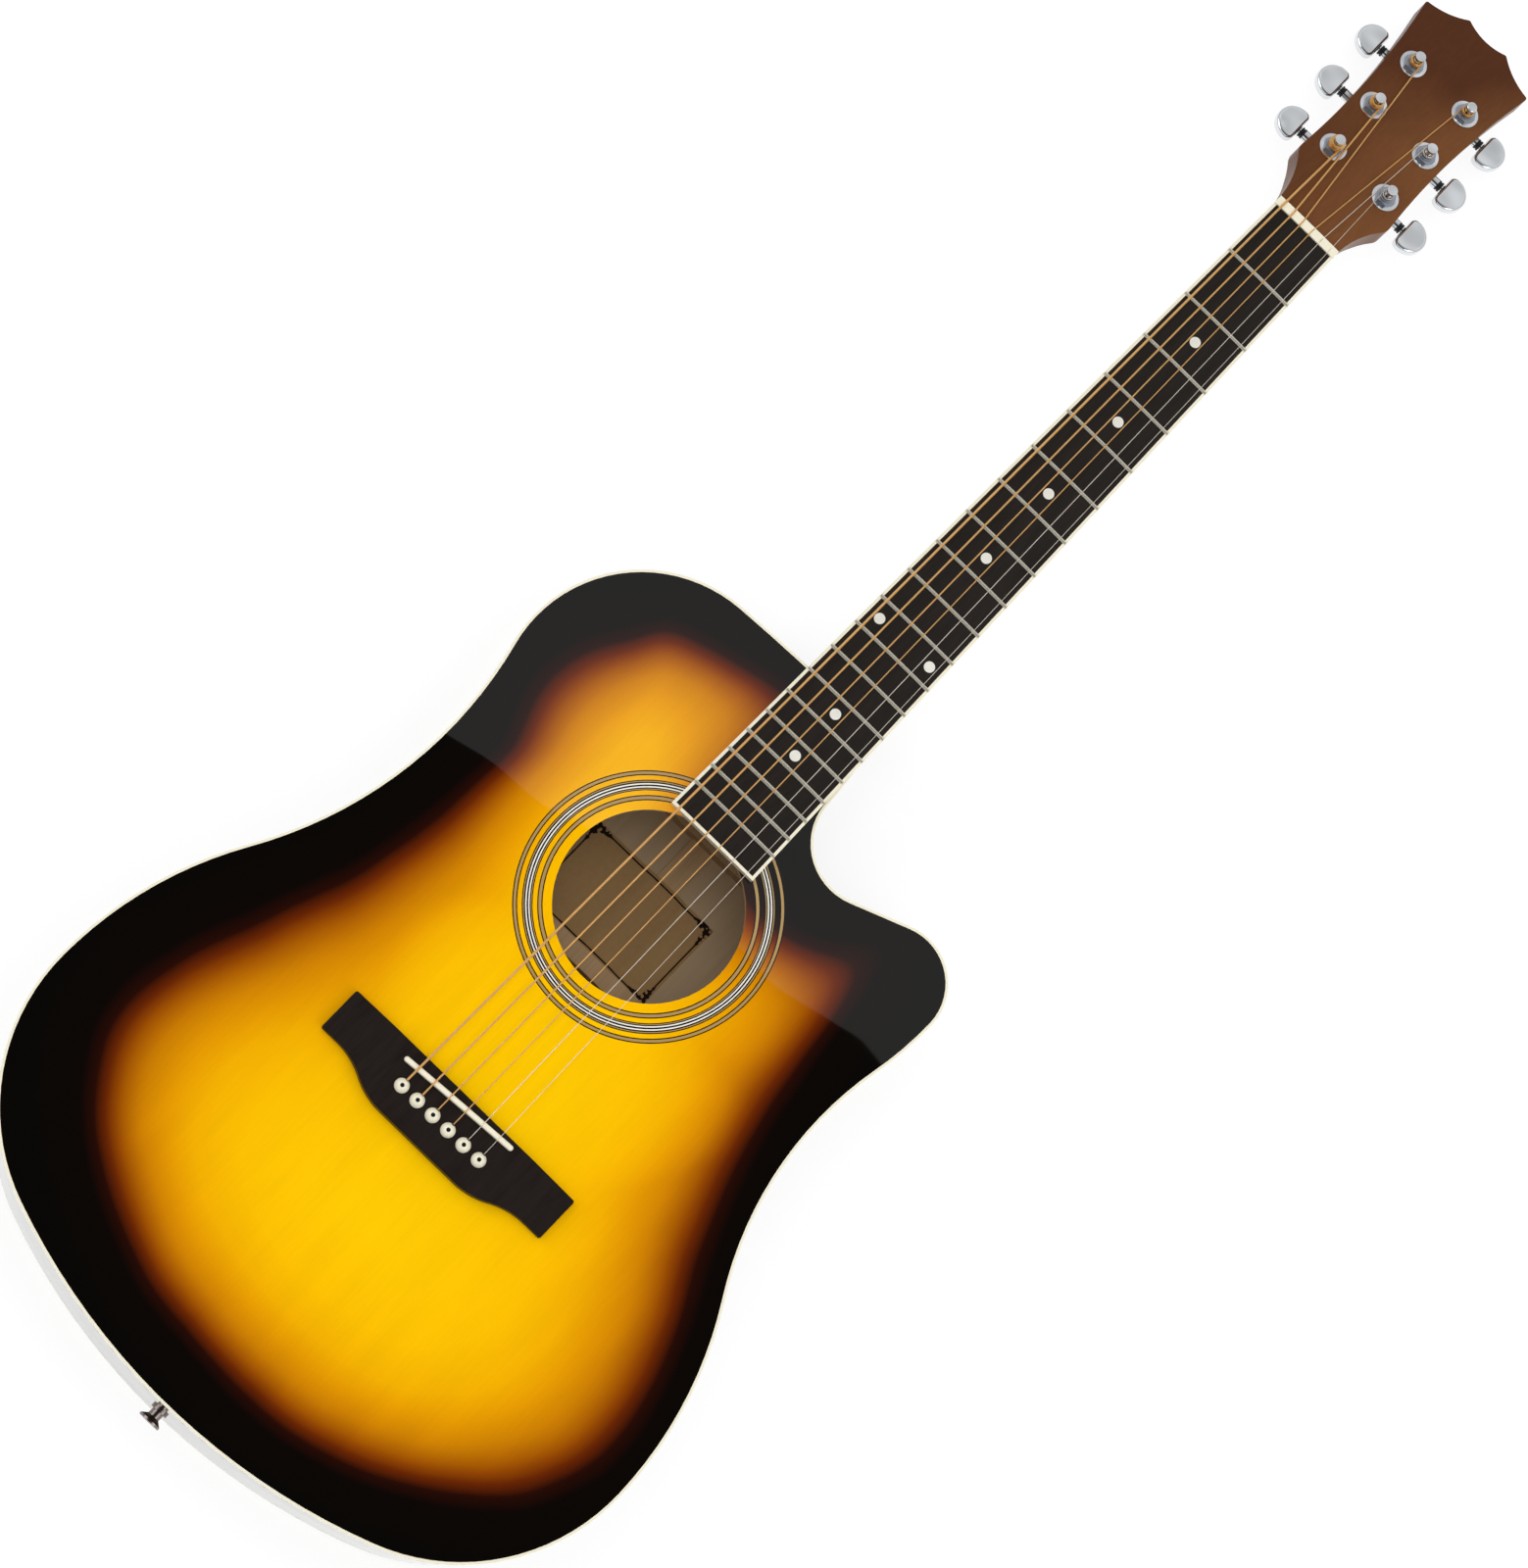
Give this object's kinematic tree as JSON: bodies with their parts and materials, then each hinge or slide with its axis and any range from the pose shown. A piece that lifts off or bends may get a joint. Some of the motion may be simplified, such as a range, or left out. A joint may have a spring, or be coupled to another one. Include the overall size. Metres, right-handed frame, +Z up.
{
  "type": "acoustic guitar",
  "caption": "Hollow wooden acoustic guitar with a cutaway body, fretted neck, pinned bridge, wound and plain strings, and geared tuners whose knobs turn the string posts.",
  "frame": {"origin": "the guitar lies on its arched back; the origin is under the middle of the bounding box, on the surface it lies on", "axes": "+Z up out of the soundboard (the strings are uppermost), +Y along the strings towards the headstock, +X towards the thin treble strings and the cutaway"},
  "size_m": [0.3932, 1.04, 0.1247],
  "materials": {
    "top_spruce": "gloss sunburst lacquer over spruce",
    "side_wood": "gloss dark stain",
    "neck_wood": "satin",
    "head_wood": "satin",
    "dark_wood": "oiled, near black",
    "inner_wood": "bare, sanded",
    "rosette_inlay": "gloss, ringed light and dark",
    "cream_plastic": "gloss",
    "black_plastic": "gloss",
    "black_rubber": "matte",
    "fret_wire": "polished nickel silver",
    "plain_steel": "drawn wire",
    "bronze_wound": "wound wire",
    "chrome": "polished",
    "gear_brass": "machined",
    "rod_steel": "plain"
  },
  "bodies": {
    "guitar": {"soundboard": "top_spruce", "rosette_rings": "rosette_inlay", "top_binding": "cream_plastic", "back_plate": "side_wood", "back_binding": "cream_plastic", "side_bass": "side_wood", "side_treble": "side_wood", "neck_block": "inner_wood", "tail_block": "inner_wood", "top_linings": "inner_wood", "back_linings": "inner_wood", "x_braces": "inner_wood", "top_braces": "inner_wood", "bridge_plate": "inner_wood", "back_braces": "inner_wood", "back_centre_strip": "inner_wood", "bridge": "dark_wood", "saddle": "cream_plastic", "bridge_pins": "cream_plastic", "headstock_veneer": "head_wood", "neck": "neck_wood", "heel_cap": "black_plastic", "truss_rod": "rod_steel", "frets": "fret_wire", "position_dots": "cream_plastic", "fingerboard": "dark_wood", "fingerboard_binding": "cream_plastic", "nut": "cream_plastic", "tuner_housings": "chrome", "tuner_screws": "chrome", "tuner_washers": "chrome", "tuner_bushings": "chrome", "shaft_washers": "black_rubber", "strap_button": "chrome", "string_1": "plain_steel", "string_2": "plain_steel", "string_3": "bronze_wound", "string_4": "bronze_wound", "string_5": "bronze_wound", "string_6": "bronze_wound"},
    "knob_1": {"tuner_knob_1": "chrome"},
    "post_1": {"string_post_1": "chrome", "worm_wheel_1": "gear_brass"},
    "knob_2": {"tuner_knob_2": "chrome"},
    "post_2": {"string_post_2": "chrome", "worm_wheel_2": "gear_brass"},
    "knob_3": {"tuner_knob_3": "chrome"},
    "post_3": {"string_post_3": "chrome", "worm_wheel_3": "gear_brass"},
    "knob_4": {"tuner_knob_4": "chrome"},
    "post_4": {"string_post_4": "chrome", "worm_wheel_4": "gear_brass"},
    "knob_5": {"tuner_knob_5": "chrome"},
    "post_5": {"string_post_5": "chrome", "worm_wheel_5": "gear_brass"},
    "knob_6": {"tuner_knob_6": "chrome"},
    "post_6": {"string_post_6": "chrome", "worm_wheel_6": "gear_brass"}
  },
  "joints": [
    {"name": "knob_1_spin", "type": "hinge", "parent": "guitar", "child": "knob_1", "pos_m": [0.0295, 0.4041, 0.05228], "axis": [1, 0, 0], "continuous": true},
    {"name": "post_1_spin", "type": "hinge", "parent": "guitar", "child": "post_1", "pos_m": [0.0195, 0.40089, 0.066], "axis": [0, 0.2466, 0.9691], "continuous": true},
    {"name": "knob_2_spin", "type": "hinge", "parent": "guitar", "child": "knob_2", "pos_m": [0.0295, 0.44001, 0.04314], "axis": [1, 0, 0], "continuous": true},
    {"name": "post_2_spin", "type": "hinge", "parent": "guitar", "child": "post_2", "pos_m": [0.0195, 0.43679, 0.05686], "axis": [0, 0.2466, 0.9691], "continuous": true},
    {"name": "knob_3_spin", "type": "hinge", "parent": "guitar", "child": "knob_3", "pos_m": [0.0295, 0.47591, 0.034], "axis": [1, 0, 0], "continuous": true},
    {"name": "post_3_spin", "type": "hinge", "parent": "guitar", "child": "post_3", "pos_m": [0.0195, 0.4727, 0.04772], "axis": [0, 0.2466, 0.9691], "continuous": true},
    {"name": "knob_4_spin", "type": "hinge", "parent": "guitar", "child": "knob_4", "pos_m": [-0.0295, 0.47591, 0.034], "axis": [1, 0, 0], "continuous": true},
    {"name": "post_4_spin", "type": "hinge", "parent": "guitar", "child": "post_4", "pos_m": [-0.0195, 0.4727, 0.04772], "axis": [0, 0.2466, 0.9691], "continuous": true},
    {"name": "knob_5_spin", "type": "hinge", "parent": "guitar", "child": "knob_5", "pos_m": [-0.0295, 0.44001, 0.04314], "axis": [1, 0, 0], "continuous": true},
    {"name": "post_5_spin", "type": "hinge", "parent": "guitar", "child": "post_5", "pos_m": [-0.0195, 0.43679, 0.05686], "axis": [0, 0.2466, 0.9691], "continuous": true},
    {"name": "knob_6_spin", "type": "hinge", "parent": "guitar", "child": "knob_6", "pos_m": [-0.0295, 0.4041, 0.05228], "axis": [1, 0, 0], "continuous": true},
    {"name": "post_6_spin", "type": "hinge", "parent": "guitar", "child": "post_6", "pos_m": [-0.0195, 0.40089, 0.066], "axis": [0, 0.2466, 0.9691], "continuous": true}
  ],
  "couplings": [
    {"joint": "post_1_spin", "follows": "knob_1_spin", "ratio": 0.071429},
    {"joint": "post_2_spin", "follows": "knob_2_spin", "ratio": 0.071429},
    {"joint": "post_3_spin", "follows": "knob_3_spin", "ratio": 0.071429},
    {"joint": "post_4_spin", "follows": "knob_4_spin", "ratio": 0.071429},
    {"joint": "post_5_spin", "follows": "knob_5_spin", "ratio": 0.071429},
    {"joint": "post_6_spin", "follows": "knob_6_spin", "ratio": 0.071429}
  ]
}
